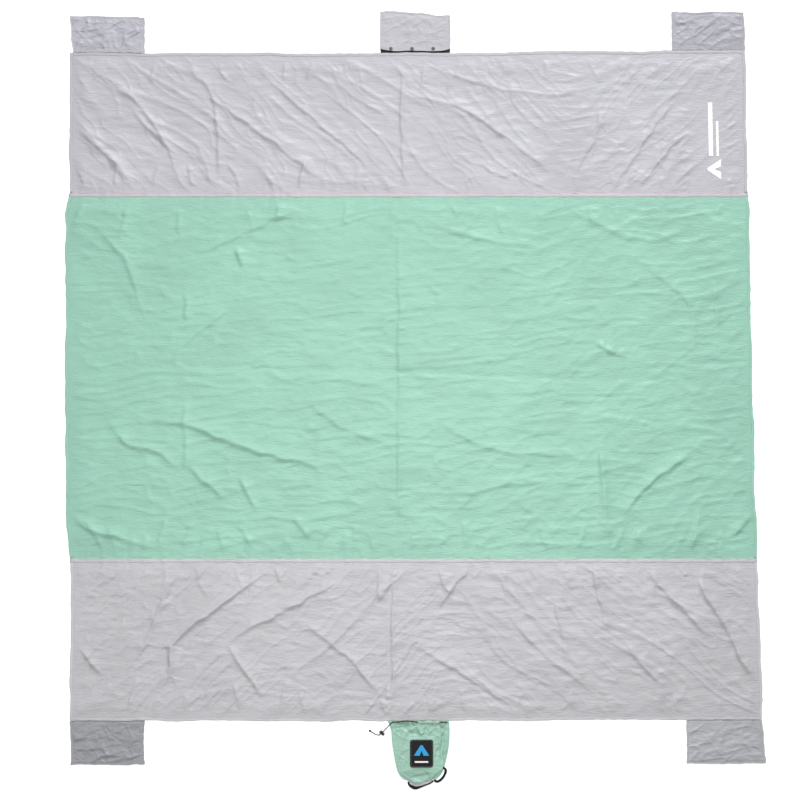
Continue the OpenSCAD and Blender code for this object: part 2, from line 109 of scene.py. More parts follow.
CENTRE_FOLDS = [
    (0.006, 0.013, [(-0.68, 0.39), (-0.56, 0.45), (-0.31, 0.56)]),
    (0.006, 0.009, [(-0.54, 0.43), (-0.51, 0.36)]),
    (0.005, 0.012, [(-0.77, 0.05), (-0.65, 0.16), (-0.53, 0.26)]),
    (0.005, 0.008, [(-0.69, 0.29), (-0.68, 0.19)]),
    (0.006, 0.008, [(0.56, 0.14), (0.61, 0.11), (0.67, 0.09)]),
    (0.005, 0.009, [(0.93, 0.33), (0.95, 0.17)]),
    (0.006, 0.012, [(-0.93, -0.10), (-0.87, -0.17), (-0.76, -0.21), (-0.70, -0.27)]),
    (0.008, 0.013, [(-0.80, -0.10), (-0.69, -0.12), (-0.47, -0.20), (-0.22, -0.26)]),
    (0.007, 0.012, [(-0.69, -0.24), (-0.56, -0.35)]),
    (0.006, 0.010, [(-0.53, -0.27), (-0.47, -0.39)]),
    (0.005, 0.010, [(-0.37, -0.40), (-0.31, -0.47)]),
    (0.006, 0.012, [(-1.05, -0.37), (-0.99, -0.43), (-0.77, -0.50)]),
    (0.007, 0.013, [(0.64, -0.41), (0.70, -0.32), (0.87, -0.20)]),
    (0.006, 0.011, [(0.58, -0.17), (0.59, -0.35), (0.60, -0.51)]),
    (0.005, 0.010, [(0.88, -0.37), (0.85, -0.51)]),
    (0.006, 0.011, [(1.06, -0.37), (0.96, -0.47)]),
    (0.004, 0.012, [(-0.99, 0.52), (-0.87, 0.39), (-0.80, 0.17)]),
    (0.004, 0.012, [(0.02, 0.52), (0.21, 0.45), (0.45, 0.42)]),
    (0.004, 0.012, [(0.45, 0.56), (0.70, 0.45), (0.88, 0.49)]),
    (0.004, 0.012, [(0.06, -0.10), (0.27, -0.20), (0.55, -0.21)]),
    (0.004, 0.012, [(0.70, 0.39), (0.85, 0.26), (0.88, 0.11)]),
    (0.004, 0.012, [(-0.34, -0.04), (-0.19, -0.14), (-0.05, -0.17)]),
    (0.004, 0.012, [(0.12, -0.41), (0.21, -0.32), (0.45, -0.29)]),
]
FOOT_FOLDS = [
    (0.008, 0.013, [(-0.70, -0.55), (-0.77, -0.66), (-0.82, -0.80), (-0.88, -0.86)]),
    (0.009, 0.014, [(-0.41, -0.54), (-0.57, -0.66), (-0.73, -0.78), (-0.74, -0.87), (-0.80, -0.96)]),
    (0.007, 0.013, [(-0.19, -0.58), (-0.34, -0.66), (-0.57, -0.78)]),
    (0.007, 0.012, [(-0.57, -0.79), (-0.45, -0.96)]),
    (0.007, 0.011, [(-1.03, -0.80), (-0.94, -0.89)]),
    (0.006, 0.012, [(0.18, -0.55), (0.07, -0.69)]),
    (0.007, 0.012, [(0.43, -0.63), (0.46, -0.78), (0.47, -0.87)]),
    (0.006, 0.011, [(0.55, -0.55), (0.60, -0.78)]),
    (0.008, 0.013, [(0.70, -0.55), (0.90, -0.78)]),
    (0.011, 0.015, [(0.84, -0.55), (0.95, -0.75), (1.02, -0.89), (1.07, -0.93)]),
    (0.006, 0.013, [(-0.34, -0.72), (-0.19, -0.84), (-0.08, -0.96)]),
    (0.005, 0.012, [(-0.01, -0.78), (0.18, -0.90), (0.33, -0.99)]),
    (0.005, 0.012, [(0.27, -0.66), (0.39, -0.81), (0.58, -0.96)]),
    (0.006, 0.012, [(0.64, -0.78), (0.76, -0.93)]),
    (0.007, 0.007, [(-0.078, -0.90), (-0.076, -0.965)]),
    (0.007, 0.007, [(-0.100, -0.955), (-0.078, -1.012)]),
    (0.006, 0.006, [(0.000, -0.965), (-0.022, -1.012)]),
]
PACKING_CREASES = [
    (0.0055, 0.006, [(-0.03, 1.00), (-0.03, 0.60)]),
    (0.0046, 0.006, [(-0.04, 0.57), (-0.04, -0.52)]),
    (0.0060, 0.005, [(-0.057, -0.54), (-0.061, -1.00)]),
    (-0.0060, 0.005, [(-0.072, -0.54), (-0.074, -1.00)]),
    (0.0040, 0.007, [(-0.69, -0.04), (-0.69, -0.28)]),
    (0.0035, 0.007, [(0.58, -0.15), (0.58, -0.47)]),
    (-0.0055, 0.007, [(-0.92, 0.07), (-0.48, 0.05), (-0.04, 0.04), (0.50, 0.02), (1.04, 0.01)]),
]


# ---- Shapes of the cloth ----

def smooth(value):
    """From 0 to 1 without corners, as value goes from 0 to 1."""
    t = np.clip(value, 0, 1)
    return t * t * (3 - 2 * t)


def noise(x, y, seed):
    """Smooth random values from -1 to 1, about one bump for each unit."""
    size = 64
    table = np.random.default_rng(seed).uniform(-1, 1, (size, size))
    column, row = np.floor(x).astype(int), np.floor(y).astype(int)
    across, up = smooth(x - column), smooth(y - row)

    def value(i, j):
        return table[(column + i) % size, (row + j) % size]

    low = value(0, 0) * (1 - across) + value(1, 0) * across
    high = value(0, 1) * (1 - across) + value(1, 1) * across
    return low * (1 - up) + high * up


def turned(x, y, angle):
    """x and y in axes that are turned by an angle in degrees."""
    c, s = math.cos(math.radians(angle)), math.sin(math.radians(angle))
    return x * c + y * s, y * c - x * s


def turned_noise(x, y, angle, long, short, seed):
    """Noise with bumps of two sizes, the long side turned by an angle in degrees."""
    along, across = turned(x, y, angle)
    return noise(along / long + 7.3, across / short + 3.1, seed)


def crease_noise(x, y, angle, long, short, seed):
    """Thin creases between 0 and 1, where the noise crosses zero."""
    bent = 0.35 * turned_noise(x, y, angle + 50, long, long, seed + 1)
    along, across = turned(x, y, angle)
    value = noise(along / long + bent, across / short + 2 * bent, seed)
    return np.maximum(0, 1 - 2.6 * np.abs(value)) ** 1.5


def creases(x, y, layers, seed=0):
    """The sum of some layers of creases: rise, angle, long, short and the layer's own seed."""
    return sum(rise * crease_noise(x, y, angle, long, short, seed + own)
               for rise, angle, long, short, own in layers)


def fold_height(x, y, rise, half_width, points):
    """A crest along the points that fades towards both ends."""
    result = np.zeros_like(x)
    reach = 8 * half_width
    px, py = np.array(points).T
    near = ((x > px.min() - reach) & (x < px.max() + reach)
            & (y > py.min() - reach) & (y < py.max() + reach))
    if not near.any():
        return result
    nx, ny = x[near], y[near]
    total = np.hypot(np.diff(px), np.diff(py)).sum()
    best, share, done = np.full(nx.shape, 9.0), np.zeros(nx.shape), 0.0
    steep = np.zeros(nx.shape, bool)
    for (ax, ay), (bx, by) in zip(points, points[1:]):
        dx, dy = bx - ax, by - ay
        length = math.hypot(dx, dy)
        t = np.clip(((nx - ax) * dx + (ny - ay) * dy) / length ** 2, 0, 1)
        wander = 0.005 * noise((done + t * length) / 0.035, t * 0 + ax * 9, 5)
        side = ((nx - ax) * dy - (ny - ay) * dx) / length
        distance = np.hypot(nx - ax - t * dx, ny - ay - t * dy)
        signed = distance * np.sign(side) + wander
        fallen = np.sign(dy * FOLD_LEAN[0] - dx * FOLD_LEAN[1])
        closer = np.abs(signed) < best
        best = np.where(closer, np.abs(signed), best)
        steep = np.where(closer, signed * fallen > 0, steep)
        share = np.where(closer, (done + t * length) / total, share)
        done += length
    width = np.where(steep, 0.42, 1.5) * half_width
    soft = np.sqrt(best ** 2 + 0.002 ** 2) - 0.002
    thin = 1 + 0.35 * noise(share * 9, share * 0 + px[0] * 7, 6)
    result[near] = rise * thin * np.exp(-soft / width) * smooth(share * 3.5) * smooth((1 - share) * 3.5)
    return result


def short_pleats(y, step, count, seed):
    """Small folds that run off a seam or an edge, each with its own lean."""
    random = np.random.default_rng(seed)
    made = []
    for i in range(count):
        x = HALF_W * (2 * (i + random.uniform(0.1, 0.9)) / count - 1)
        length = random.uniform(0.035, 0.12)
        lean = random.uniform(-0.7, 0.7)
        start = y + step * random.uniform(0.008, 0.03)
        middle = (x + lean * length * 0.35, start + step * length * 0.5)
        end = (x + lean * length, start + step * length)
        rise, half_width = random.uniform(0.0020, 0.0052), random.uniform(0.006, 0.010)
        made.append((rise, half_width, [(x, start), middle, end]))
    return made


def curved(points, step):
    """A smooth line through given points (Catmull-Rom), at an even distance."""
    p = np.asarray(points, float)
    p = np.vstack([2 * p[0] - p[1], p, 2 * p[-1] - p[-2]])
    found = []
    for i in range(1, len(p) - 2):
        t = np.linspace(0, 1, 12, endpoint=False)[:, None]
        found.append(0.5 * (2 * p[i] + (p[i + 1] - p[i - 1]) * t
                            + (2 * p[i - 1] - 5 * p[i] + 4 * p[i + 1] - p[i + 2]) * t ** 2
                            + (3 * p[i] - p[i - 1] - 3 * p[i + 1] + p[i + 2]) * t ** 3))
    return evenly(np.vstack([*found, p[-2:-1]]), step)


def evenly(points, step):
    """Points along a line at an even distance."""
    points = np.asarray(points, float)
    done = np.r_[0, np.cumsum(np.linalg.norm(np.diff(points, axis=0), axis=1))]
    places = np.linspace(0, done[-1], max(2, round(done[-1] / step) + 1))
    return np.stack([np.interp(places, done, points[:, k]) for k in range(points.shape[1])], -1)


PLEATS = []
for y, step, count, seed in ((HEAD_SEAM, 1, 26, 401), (HEAD_SEAM, -1, 14, 402), (FOOT_SEAM, 1, 34, 403),
                             (FOOT_SEAM, -1, 24, 404), (HEAD_EDGE, -1, 22, 405), (FOOT_EDGE, 1, 22, 406)):
    PLEATS += short_pleats(y, step, count, seed)

# How much higher and wider than listed the folds of each part are laid.
FOLD_LINES = [(higher * rise, wider * half_width, curved(points, FOLD_STEP))
              for folds, higher, wider in ((HEAD_FOLDS, 0.85, 0.72), (CENTRE_FOLDS, 1.2, 0.9),
                                           (FOOT_FOLDS, 1.05, 0.8), (PLEATS, 1, 1))
              for rise, half_width, points in folds]
FOLD_LINES += [(rise, half_width, np.array(points)) for rise, half_width, points in PACKING_CREASES]


def seam_gathers(x, y, seam, seed):
    """Short puckers that run off a row of stitches on both sides."""
    away = np.abs(y - seam)
    fine = noise(x / 0.011, away / 0.06, seed) + 0.6 * noise(x / 0.023 + 9, away / 0.09, seed + 1)
    return 0.0016 * fine * np.exp(-away / 0.022) * smooth(away / 0.006)


def blanket_height(x, y):
    """Height of the blanket's cloth above the ground."""
    head_lean = -40 + 82 * smooth(4 * (x - 0.38))
    foot_lean = 45 - 85 * smooth(4 * x)
    lean = np.where(y > HEAD_SEAM, head_lean, np.where(y < FOOT_SEAM, foot_lean, 10))
    z = 0.0022 + 0.0012 * noise(x / 0.31, y / 0.27, 1)
    for angle, long, short, rise, seed in ((-38, 0.21, 0.050, 0.0032, 11), (42, 0.24, 0.055, 0.0030, 21),
                                           (-42, 0.085, 0.021, 0.0020, 15), (44, 0.085, 0.021, 0.0020, 25),
                                           (4, 0.13, 0.024, 0.0026, 31), (88, 0.16, 0.05, 0.0020, 41)):
        like = 0.12 + 0.88 * np.exp(-((lean - angle) / 30.0) ** 2)
        z = z + rise * like * crease_noise(x, y, angle, long, short, seed)
    z = z + 0.0009 * turned_noise(x, y, 3, 0.055, 0.0125, 51)
    z = z + 0.0007 * turned_noise(x, y, -9, 0.034, 0.0095, 52)
    z = z + 0.0008 * turned_noise(x, y, 30, 0.045, 0.020, 53)
    z = z + sum(fold_height(x, y, *fold) for fold in FOLD_LINES)
    edge = np.minimum(np.minimum(HALF_W - np.abs(x), HEAD_EDGE - y), y - FOOT_EDGE)
    seam = np.minimum(np.abs(y - HEAD_SEAM), np.abs(y - FOOT_SEAM))
    flat = 0.0011 + 0.0004 * noise(x / 0.035, y / 0.035, 61)
    at_edge = 0.1 + 0.9 * smooth((edge - 0.006) / 0.045)
    at_seam = 0.12 + 0.88 * smooth(seam / 0.05)
    z = flat + (z - flat) * at_edge * at_seam
    z = z + seam_gathers(x, y, HEAD_SEAM, 71) + seam_gathers(x, y, FOOT_SEAM, 73)
    from_end = np.maximum(np.minimum(HEAD_EDGE - y, y - FOOT_EDGE), 0)
    z = np.minimum(z, 0.0028 + 0.09 * from_end)
    from_print = np.hypot((x - PRINT_MIDDLE.x) / 0.05, (y - PRINT_MIDDLE.y) / 0.16)
    z = PRINT_BED + (z - PRINT_BED) * (0.25 + 0.75 * smooth(from_print - 0.6))
    return np.maximum(z, 0.0006)


def lay(x, y):
    """Where a point of the flat cut lies once the blanket is spread on the ground."""
    right = smooth((x - 0.25) / (HALF_W - 0.25)) * np.interp(y, *zip(*RIGHT_SIDE))
    left = smooth((-x - 0.25) / (HALF_W - 0.25)) * np.interp(y, *zip(*LEFT_SIDE))
    at_side = smooth((np.abs(x) - HALF_W + 0.05) / 0.05)
    side = np.sign(x)
    ripple = at_side * (0.0026 * noise(y / 0.06, side, 81) + 0.0010 * noise(y / 0.014, side, 83))
    near_head = smooth((y - 0.8) / 0.2)
    near_foot = smooth((-0.8 - y) / 0.2)
    rightwards = np.clip(x / HALF_W, 0, 1)
    rise = near_head * (-0.0028 + 0.010 * rightwards) + near_foot * (-0.003 + 0.003 * rightwards)
    at_end = smooth((np.abs(y) - 0.9) / 0.1)
    end = np.sign(y)
    wave = at_end * (0.0024 * noise(x / 0.09, end, 82) + 0.0007 * noise(x / 0.016, end, 84))
    return x + right + left + ripple, y + rise + wave


def on_blanket(x, y, lift=0.0):
    """Points on the blanket's surface, as three arrays."""
    laid_x, laid_y = lay(x, y)
    return laid_x, laid_y, blanket_height(x, y) + lift


# ---- Meshes ----

def make_object(name, vertices, faces, material, uv=None):
    """A smooth mesh; faces is a list, or an array if all have the same number of corners."""
    if isinstance(faces, np.ndarray):
        faces = faces.tolist()
    mesh = bpy.data.meshes.new(name)
    mesh.from_pydata(np.asarray(vertices).tolist(), [], faces)
    mesh.materials.append(material)
    mesh.polygons.foreach_set("use_smooth", [True] * len(mesh.polygons))
    if uv is not None:
        corner = np.zeros(len(mesh.loops), int)
        mesh.loops.foreach_get("vertex_index", corner)
        layer = mesh.uv_layers.new(name="flat")
        layer.data.foreach_set("uv", np.asarray(uv)[corner].astype(np.float32).ravel())
    mesh.update()
    made = bpy.data.objects.new(name, mesh)
    bpy.context.scene.collection.objects.link(made)
    return made


def finish_piece(made, node):
    """Hides the CAD node that the piece stands for."""
    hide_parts(node)
    return made


def grid_faces(rows, columns, wrap=False):
    """Quads over a grid of rows by columns, the last column joined to the first if it wraps."""
    i, j = np.meshgrid(np.arange(rows - 1), np.arange(columns if wrap else columns - 1), indexing="ij")
    k = (j + 1) % columns
    corners = [i * columns + j, i * columns + k, (i + 1) * columns + k, (i + 1) * columns + j]
    return np.stack(corners, -1).reshape(-1, 4)


def cloth(name, x, y, z, u, v, material):
    """One sheet through a grid of points, with its flat cut as the texture's coordinates."""
    vertices = np.stack([x, y, z], -1).reshape(-1, 3)
    uv = np.stack([u, v], -1).reshape(-1, 2)
    return make_object(name, vertices, grid_faces(*x.shape), material, uv)


def tube(name, path, half_width, half_height, material, sides=10, closed=False):
    """A round or flattened tube along a path; its flat side stays level."""
    if closed:
        along = np.roll(path, -1, 0) - np.roll(path, 1, 0)
    else:
        along = np.gradient(path, axis=0)
    along /= np.linalg.norm(along, axis=1)[:, None]
    across = np.cross(along, [0, 0, 1.0])
    across /= np.maximum(np.linalg.norm(across, axis=1), 1e-6)[:, None]
    over = np.cross(across, along)
    angle = np.linspace(0, 2 * math.pi, sides, endpoint=False)
    wide = np.broadcast_to(half_width, len(path))[:, None, None]
    high = np.broadcast_to(half_height, len(path))[:, None, None]
    rings = (path[:, None] + across[:, None] * np.cos(angle)[None, :, None] * wide
             + over[:, None] * np.sin(angle)[None, :, None] * high)
    rings = rings.reshape(-1, 3)
    steps = np.r_[0, np.cumsum(np.linalg.norm(np.diff(path, axis=0), axis=1))]
    uv = np.stack(np.broadcast_arrays(steps[:, None], angle[None] * np.mean(half_width)), -1)
    uv = uv.reshape(-1, 2)
    faces = grid_faces(len(path), sides, wrap=True).tolist()
    last = (len(path) - 1) * sides
    turn = [(k, (k + 1) % sides) for k in range(sides)]
    if closed:
        faces += [[last + k, last + after, after, k] for k, after in turn]
    else:
        tip = len(rings)
        faces += [[tip, after, k] for k, after in turn]
        faces += [[tip + 1, last + k, last + after] for k, after in turn]
        rings = np.vstack([rings, rings[:sides].mean(0), rings[-sides:].mean(0)])
        uv = np.vstack([uv, [[0, 0], [steps[-1], 0]]])
    return make_object(name, rings, faces, material, uv)


def stitches(name, lines, node):
    """Separate stitches along lines of points: each is a small lozenge that dips at both ends."""
    vertices, faces = [], []
    for line in lines:
        places = evenly(line, STITCH_PITCH)
        start, end = places[:-1], places[:-1] + 0.78 * np.diff(places, axis=0)
        along = end - start
        side = np.cross(along, [0, 0, 1.0])
        side *= THREAD / np.maximum(np.linalg.norm(side, axis=1), 1e-9)[:, None]
        up = np.array([0, 0, THREAD * 1.3])
        middle = (start + end) / 2
        corners = np.stack([start, middle - side, end, middle + side, middle + up], 1)
        base = len(vertices) * 5 + 5 * np.arange(len(start))[:, None, None]
        shape = np.array([[0, 1, 4], [1, 2, 4], [2, 3, 4], [3, 0, 4], [0, 3, 1], [3, 2, 1]])
        faces.append((base + shape[None]).reshape(-1, 3))
        vertices.extend(corners)
    made = make_object(name, np.array(vertices).reshape(-1, 3), np.vstack(faces), THREAD_GREY)
    return finish_piece(made, node)


# ---- Materials ----

def new_material(name, constants):
    """A material, its node tree and its shader, with constants on the shader's own sockets."""
    material = bpy.data.materials.new(name)
    material.use_nodes = True
    shader = material.node_tree.nodes["Principled BSDF"]
    for socket, value in constants.items():
        shader.inputs[socket].default_value = value
    return material, material.node_tree, shader


def texture(tree, kind, scale, detail, stretch, source="UV"):
    """A noise or wave texture on the flat cut's coordinates, stretched by the given amounts."""
    place = tree.nodes.new("ShaderNodeTexCoord")
    mapping = tree.nodes.new("ShaderNodeMapping")
    mapping.inputs["Scale"].default_value = stretch
    made = tree.nodes.new(kind)
    made.inputs["Scale"].default_value = scale
    made.inputs["Detail"].default_value = detail
    tree.links.new(place.outputs[source], mapping.inputs["Vector"])
    tree.links.new(mapping.outputs["Vector"], made.inputs["Vector"])
    return made


def add_bump(tree, shader, source, distance, strength, before=None):
    bump = tree.nodes.new("ShaderNodeBump")
    bump.inputs["Distance"].default_value = distance
    bump.inputs["Strength"].default_value = strength
    tree.links.new(source, bump.inputs["Height"])
    if before is not None:
        tree.links.new(before.outputs["Normal"], bump.inputs["Normal"])
    tree.links.new(bump.outputs["Normal"], shader.inputs["Normal"])
    return bump


def varied_colour(tree, shader, colour, change, source):
    """The colour, lighter and darker by a share, as a texture says."""
    ramp = tree.nodes.new("ShaderNodeValToRGB")
    ramp.color_ramp.elements[0].position = 0.3
    ramp.color_ramp.elements[1].position = 0.7
    ramp.color_ramp.elements[0].color = [c * (1 - change) for c in colour] + [1]
    ramp.color_ramp.elements[1].color = [min(1, c * (1 + change)) for c in colour] + [1]
    tree.links.new(source, ramp.inputs["Fac"])
    tree.links.new(ramp.outputs["Color"], shader.inputs["Base Color"])


def nylon(name, colour, roughness=0.42, crinkle=0.8):
    """Thin shiny nylon: fine crinkles across the cloth, a weave, and uneven colour."""
    material, tree, shader = new_material(name, {
        "Roughness": roughness, "Specular IOR Level": 0.35, "Sheen Weight": 0.25, "Sheen Roughness": 0.4})
    patches = texture(tree, "ShaderNodeTexNoise", 5, 5, (1, 1, 1))
    varied_colour(tree, shader, colour, 0.05, patches.outputs["Fac"])
    fine = texture(tree, "ShaderNodeTexNoise", 55, 4, (1, 3.4, 1))
    fine.inputs["Distortion"].default_value = 0.6
    weave = texture(tree, "ShaderNodeTexNoise", 900, 2, (1, 1.6, 1))
    first = add_bump(tree, shader, fine.outputs["Fac"], 0.0024, crinkle)
    add_bump(tree, shader, weave.outputs["Fac"], 0.0002, 0.25, first)
    return material


def plain(name, colour, roughness, metallic=0.0, grain=400, bump=0.0002, specular=0.5):
    """Plastic, rubber, metal or thread with a fine grain and slight wear."""
    material, tree, shader = new_material(name, {
        "Roughness": roughness, "Specular IOR Level": specular, "Metallic": metallic})
    wear = texture(tree, "ShaderNodeTexNoise", grain, 4, (1, 1, 1), "Object")
    varied_colour(tree, shader, colour, 0.14, wear.outputs["Fac"])
    add_bump(tree, shader, wear.outputs["Fac"], bump, 0.3)
    return material


def braid(name, colour, pitch):
    """Woven cord or webbing, with bands across its length."""
    material, tree, shader = new_material(name, {
        "Roughness": 0.75, "Specular IOR Level": 0.25, "Sheen Weight": 0.05})
    wave = texture(tree, "ShaderNodeTexWave", 1 / pitch, 2, (1, 1, 1))
    wave.bands_direction = "DIAGONAL"
    varied_colour(tree, shader, colour, 0.25, wave.outputs["Fac"])
    add_bump(tree, shader, wave.outputs["Fac"], 0.0004, 0.6)
    return material


MINT = nylon("mint_nylon", (0.268, 0.500, 0.398))
MINT_SACK = nylon("mint_sack_nylon", (0.302, 0.498, 0.404), roughness=0.34)
HEAD_GREY = nylon("head_grey_nylon", (0.451, 0.447, 0.486))
FOOT_GREY = nylon("foot_grey_nylon", (0.451, 0.446, 0.467))
POCKET_HEAD = nylon("pocket_head_nylon", (0.430, 0.427, 0.476), crinkle=0.9)
POCKET_HEAD_RIGHT = nylon("pocket_head_right_nylon", (0.370, 0.368, 0.408), crinkle=0.9)
# The left foot pocket's grey is darker than the right one's: painted shade for the darker foot-left
# corner.
POCKET_FOOT_SHADED = nylon("pocket_foot_shaded_nylon", (0.285, 0.292, 0.312), crinkle=0.9)
POCKET_FOOT_RIGHT = nylon("pocket_foot_right_nylon", (0.385, 0.392, 0.414), crinkle=0.9)
SNAP_POCKET = nylon("snap_pocket_nylon", (0.440, 0.436, 0.472), roughness=0.6)
LINING = nylon("dark_lining", (0.010, 0.011, 0.014), roughness=0.7)
SEAM_PINK = nylon("seam_strip", (0.500, 0.475, 0.500))
THREAD_GREY = plain("grey_thread", (0.42, 0.43, 0.46), 0.7, grain=2500)
BLACK_CORD = braid("black_cord", (0.006, 0.006, 0.007), 0.0016)
WEBBING = braid("black_webbing", (0.008, 0.008, 0.009), 0.0012)
RUBBER = plain("black_rubber", (0.006, 0.006, 0.007), 0.5, grain=900, specular=0.25)
BLUE = plain("patch_blue", (0.020, 0.300, 0.620), 0.4, grain=900)
WHITE = plain("patch_white", (0.80, 0.80, 0.79), 0.45, grain=900)
PRINT = plain("white_print", (0.86, 0.86, 0.85), 0.55, grain=600)
SNAP_METAL = plain("snap_metal", (0.330, 0.270, 0.240), 0.32, metallic=1.0, grain=1500)
PLASTIC = plain("black_plastic", (0.010, 0.010, 0.011), 0.4, grain=1200, specular=0.35)
WIRE = plain("spring_wire", (0.55, 0.55, 0.56), 0.3, metallic=1.0, grain=2500)


# ---- Blanket ----

def bend_at_seam(made):
    """Applies the piece's placement to its mesh."""
    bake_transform(made)


def panel(node, low, high, step, material):
    columns, rows = round((high.x - low.x) / step) + 1, round((high.y - low.y) / step) + 1
    x, y = np.meshgrid(np.linspace(low.x, high.x, columns), np.linspace(low.y, high.y, rows))
    return finish_piece(cloth(node + "_cloth", *on_blanket(x, y), x, y, material), node)


def blanket_line(points, step=STITCH_STEP, lift=STITCH_LIFT):
    """A line of points on the cut, laid on the blanket's surface."""
    flat = evenly(points, step)
    return np.stack(on_blanket(flat[:, 0], flat[:, 1], lift), -1)


def rolled_hem(name, points, material, node, half_width=0.0043, half_height=0.0004):
    line = blanket_line(points, 0.006, 0.0004)
    swell = 1 + 0.22 * noise(np.arange(len(line)) / 2.3, np.zeros(len(line)), 91)
    made = tube(name, line, half_width * swell, half_height * swell, material, 24)
    return finish_piece(made, node)


def centre_side(side, inset):
    """A line along the left (-1) or right (1) side of the centre panel."""
    x = side * (HALF_W - inset)
    return [(x, FOOT_SEAM + SEAM_GAP), (x, HEAD_SEAM - SEAM_GAP)]


def end_outline(seam, edge, inset):
    """A line round an end panel, from the seam along one side, the end and the other side."""
    step = math.copysign(1, edge - seam)
    x, y = HALF_W - inset, edge - step * inset
    start = seam + step * SEAM_STRIP
    return [(-x, start), (-x, y), (x, y), (x, start)]


centre_cloth = panel("centre_panel", CENTRE_LOW, CENTRE_HIGH, CENTRE_STEP, MINT)
head_cloth = panel("head_panel", HEAD_LOW, HEAD_HIGH, END_STEP, HEAD_GREY)
foot_cloth = panel("foot_panel", FOOT_LOW, FOOT_HIGH, END_STEP, FOOT_GREY)

centre_hems = [rolled_hem(name, centre_side(side, HEM / 2), MINT, "centre_hem")
               for name, side in (("centre_hem_left", -1), ("centre_hem_right", 1))]
centre_lines = [blanket_line(centre_side(side, HEM - SEAM_GAP)) for side in (-1, 1)]
centre_stitches = stitches("centre_hem_stitches", centre_lines, "centre_hem_thread")
for piece in (centre_cloth, *centre_hems, centre_stitches):
    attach(piece, "centre")


def end_trim(body, seam, edge, hem_material):
    """The hem, the seam strip and the stitches of one end panel."""
    step = math.copysign(1, edge - seam)
    hem = rolled_hem(body + "_hem_roll", end_outline(seam, edge, HEM / 2), hem_material,
                     body + "_hem")
    hem_line = blanket_line(end_outline(seam, edge, HEM - SEAM_GAP))
    hem_stitches = stitches(body + "_hem_stitches", [hem_line], body + "_hem_thread")
    middle = seam + step * 0.006
    strip = rolled_hem(body + "_seam_strip", [(-HALF_W, middle), (HALF_W, middle)], SEAM_PINK,
                       body + "_seam_fold", 0.0052, 0.0008)
    rows = [blanket_line([(-HALF_W, seam + step * d), (HALF_W, seam + step * d)], lift=0.0010)
            for d in (0.002, 0.010)]
    seam_stitches = stitches(body + "_seam_stitches", rows, body + "_seam_thread")
    return [hem, hem_stitches, strip, seam_stitches]


head_trim = end_trim("head", HEAD_SEAM, HEAD_EDGE, HEAD_GREY)
foot_trim = end_trim("foot", FOOT_SEAM, FOOT_EDGE, SEAM_PINK)
for piece in [head_cloth, *head_trim]:
    bend_at_seam(piece)
for piece in [foot_cloth, *foot_trim]:
    bend_at_seam(piece)


def draped_print(node, lift, longest, nudge):
    """The printed shapes of a flat CAD node, cut fine, moved by nudge along x and laid on the cloth."""
    work = bmesh.new()
    work.from_mesh(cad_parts[node].data)
    work.normal_update()
    sides = [f for f in work.faces if f.normal.z < 0.5]
    bmesh.ops.delete(work, geom=sides, context="FACES")
    while long_edges := [e for e in work.edges if e.calc_length() > longest]:
        bmesh.ops.subdivide_edges(work, edges=long_edges, cuts=1)
        bmesh.ops.triangulate(work, faces=work.faces[:])
    points = np.array([v.co for v in work.verts])
    laid = np.stack(on_blanket(points[:, 0] + nudge, points[:, 1]), -1)
    below = BVHTree.FromObject(head_cloth, bpy.context.evaluated_depsgraph_get())
    for point in laid:
        hit = below.ray_cast((point[0], point[1], 1), (0, 0, -1))[0]
        point[2] = (hit.z if hit else point[2]) + lift
    work.verts.ensure_lookup_table()
    faces = [[v.index for v in f.verts] for f in work.faces]
    work.free()
    return finish_piece(make_object(node + "_ink", laid, faces, PRINT, points[:, :2]), node)


printed = draped_print("printed_mark", lift=0.0011, longest=0.003, nudge=0.014)
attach(printed, "head")


# ---- Pockets ----

STITCH_INSET = 0.0055
LOWER_Z = 0.0005       # height of a lower layer
UPPER_LEAST = 0.0020   # least height of a corner or snap pocket's upper layer


def pocket_wrinkles(x, y, seed, rise):
    """Crumpled cloth of a doubled pocket: creases in three directions and small dents."""
    z = creases(x, y, ((1.2, 32, 0.075, 0.026, 0), (0.5, -50, 0.050, 0.024, 2),
                       (0.9, 6, 0.060, 0.018, 4)), seed)
    z = z + 0.45 * turned_noise(x, y, 10, 0.026, 0.010, seed + 6)
    return rise * (z + 0.20 * noise(x / 0.010, y / 0.006, seed + 7))


def open_border(down, across):
    """Points (u, v) round three sides of a layer: down is v along a side, across is u along the end."""
    return np.r_[np.stack([-np.ones(len(down)), down], -1),
                 np.stack([across[1:], np.ones(len(across) - 1)], -1),
                 np.stack([np.ones(len(down) - 1), down[::-1][1:]], -1)]


def side_wall(name, border, lower, upper, shares, pitch, material, bulge=0.0):
    """Cloth from the rim of the lower layer to that of the upper one, in rows at shares of the height."""
    low, top = np.stack(lower(*border.T), -1), np.stack(upper(*border.T), -1)
    share = np.array(shares)[:, None, None]
    wall = low[None] * (1 - share) + top[None] * share
    wall[..., 0] += bulge * np.sin(math.pi * share[..., 0]) * border[None, :, 0]
    x, y, z = np.moveaxis(wall, -1, 0)
    return cloth(name, x, y, z, np.broadcast_to(np.arange(len(border)) * pitch, x.shape), z, material)


